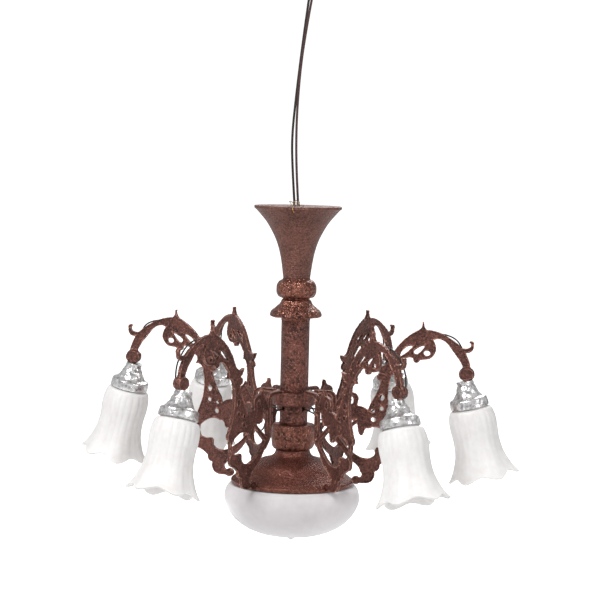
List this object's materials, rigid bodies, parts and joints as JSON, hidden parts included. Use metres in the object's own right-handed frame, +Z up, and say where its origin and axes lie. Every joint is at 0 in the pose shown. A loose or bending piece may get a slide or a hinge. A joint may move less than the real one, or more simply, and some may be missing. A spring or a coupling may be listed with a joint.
{
  "type": "miniature chandelier",
  "caption": "Dolls-house chandelier: turned column under a trumpet cup, openwork scroll arms with leaning tulip shades, a bowl below, and leads to a plug.",
  "frame": {"origin": "centre of the ceiling cup's flat top face", "axes": "+Z up along the column, towards the ceiling; -Y towards the front"},
  "size_m": [0.0854, 0.0761, 0.1246],
  "materials": {
    "body": "rough copper-brown paint",
    "arm": "dark grainy copper casting",
    "cap": "bright crumpled casting",
    "brass": "plain",
    "opal": "translucent white",
    "bulb": "clear",
    "wire": "insulation",
    "copper": "enamelled wire"
  },
  "bodies": {
    "fixture": {"ceiling_cup": "body", "column_bead": "body", "bell_flange": "body", "upper_column": "body", "arm_collar": "body", "wire_washer": "body", "lower_column": "body", "hub": "body", "dome_neck": "body", "base_dome": "body", "centre_tube": "brass", "tube_nut": "brass", "bowl_bulb": "bulb", "arm_right": "arm", "shade_cap_right": "cap", "shade_bulb_right": "bulb", "lamp_wire_right": "wire", "arm_front_right": "arm", "shade_cap_front_right": "cap", "shade_bulb_front_right": "bulb", "lamp_wire_front_right": "wire", "arm_front_left": "arm", "shade_cap_front_left": "cap", "shade_bulb_front_left": "bulb", "lamp_wire_front_left": "wire", "arm_left": "arm", "shade_cap_left": "cap", "shade_bulb_left": "bulb", "lamp_wire_left": "wire", "arm_back_left": "arm", "shade_cap_back_left": "cap", "shade_bulb_back_left": "bulb", "lamp_wire_back_left": "wire", "arm_back_right": "arm", "shade_cap_back_right": "cap", "shade_bulb_back_right": "bulb", "lamp_wire_back_right": "wire", "wire_bundle": "copper", "lead_joints": "copper", "lead_left": "wire", "lead_right": "wire", "lead_plug": "wire", "plug_pins": "brass"},
    "bowl": {"bowl": "opal"},
    "shade_right": {"shade_right": "opal"},
    "shade_front_right": {"shade_front_right": "opal"},
    "shade_front_left": {"shade_front_left": "opal"},
    "shade_left": {"shade_left": "opal"},
    "shade_back_left": {"shade_back_left": "opal"},
    "shade_back_right": {"shade_back_right": "opal"}
  },
  "joints": [
    {"name": "bowl_pull", "type": "slide", "parent": "fixture", "child": "bowl", "axis": [0, 0, -1], "range_m": [0, 0.015]},
    {"name": "shade_right_pull", "type": "slide", "parent": "fixture", "child": "shade_right", "axis": [0.2228, -0.0313, -0.9744], "range_m": [0, 0.015]},
    {"name": "shade_front_right_pull", "type": "slide", "parent": "fixture", "child": "shade_front_right", "axis": [0.175, -0.2547, -0.9511], "range_m": [0, 0.015]},
    {"name": "shade_front_left_pull", "type": "slide", "parent": "fixture", "child": "shade_front_left", "axis": [-0.1678, -0.2187, -0.9613], "range_m": [0, 0.015]},
    {"name": "shade_left_pull", "type": "slide", "parent": "fixture", "child": "shade_left", "axis": [-0.2173, 0.0582, -0.9744], "range_m": [0, 0.015]},
    {"name": "shade_back_left_pull", "type": "slide", "parent": "fixture", "child": "shade_back_left", "axis": [-0.1314, 0.223, -0.9659], "range_m": [0, 0.015]},
    {"name": "shade_back_right_pull", "type": "slide", "parent": "fixture", "child": "shade_back_right", "axis": [0.1521, 0.2094, -0.9659], "range_m": [0, 0.015]}
  ]
}
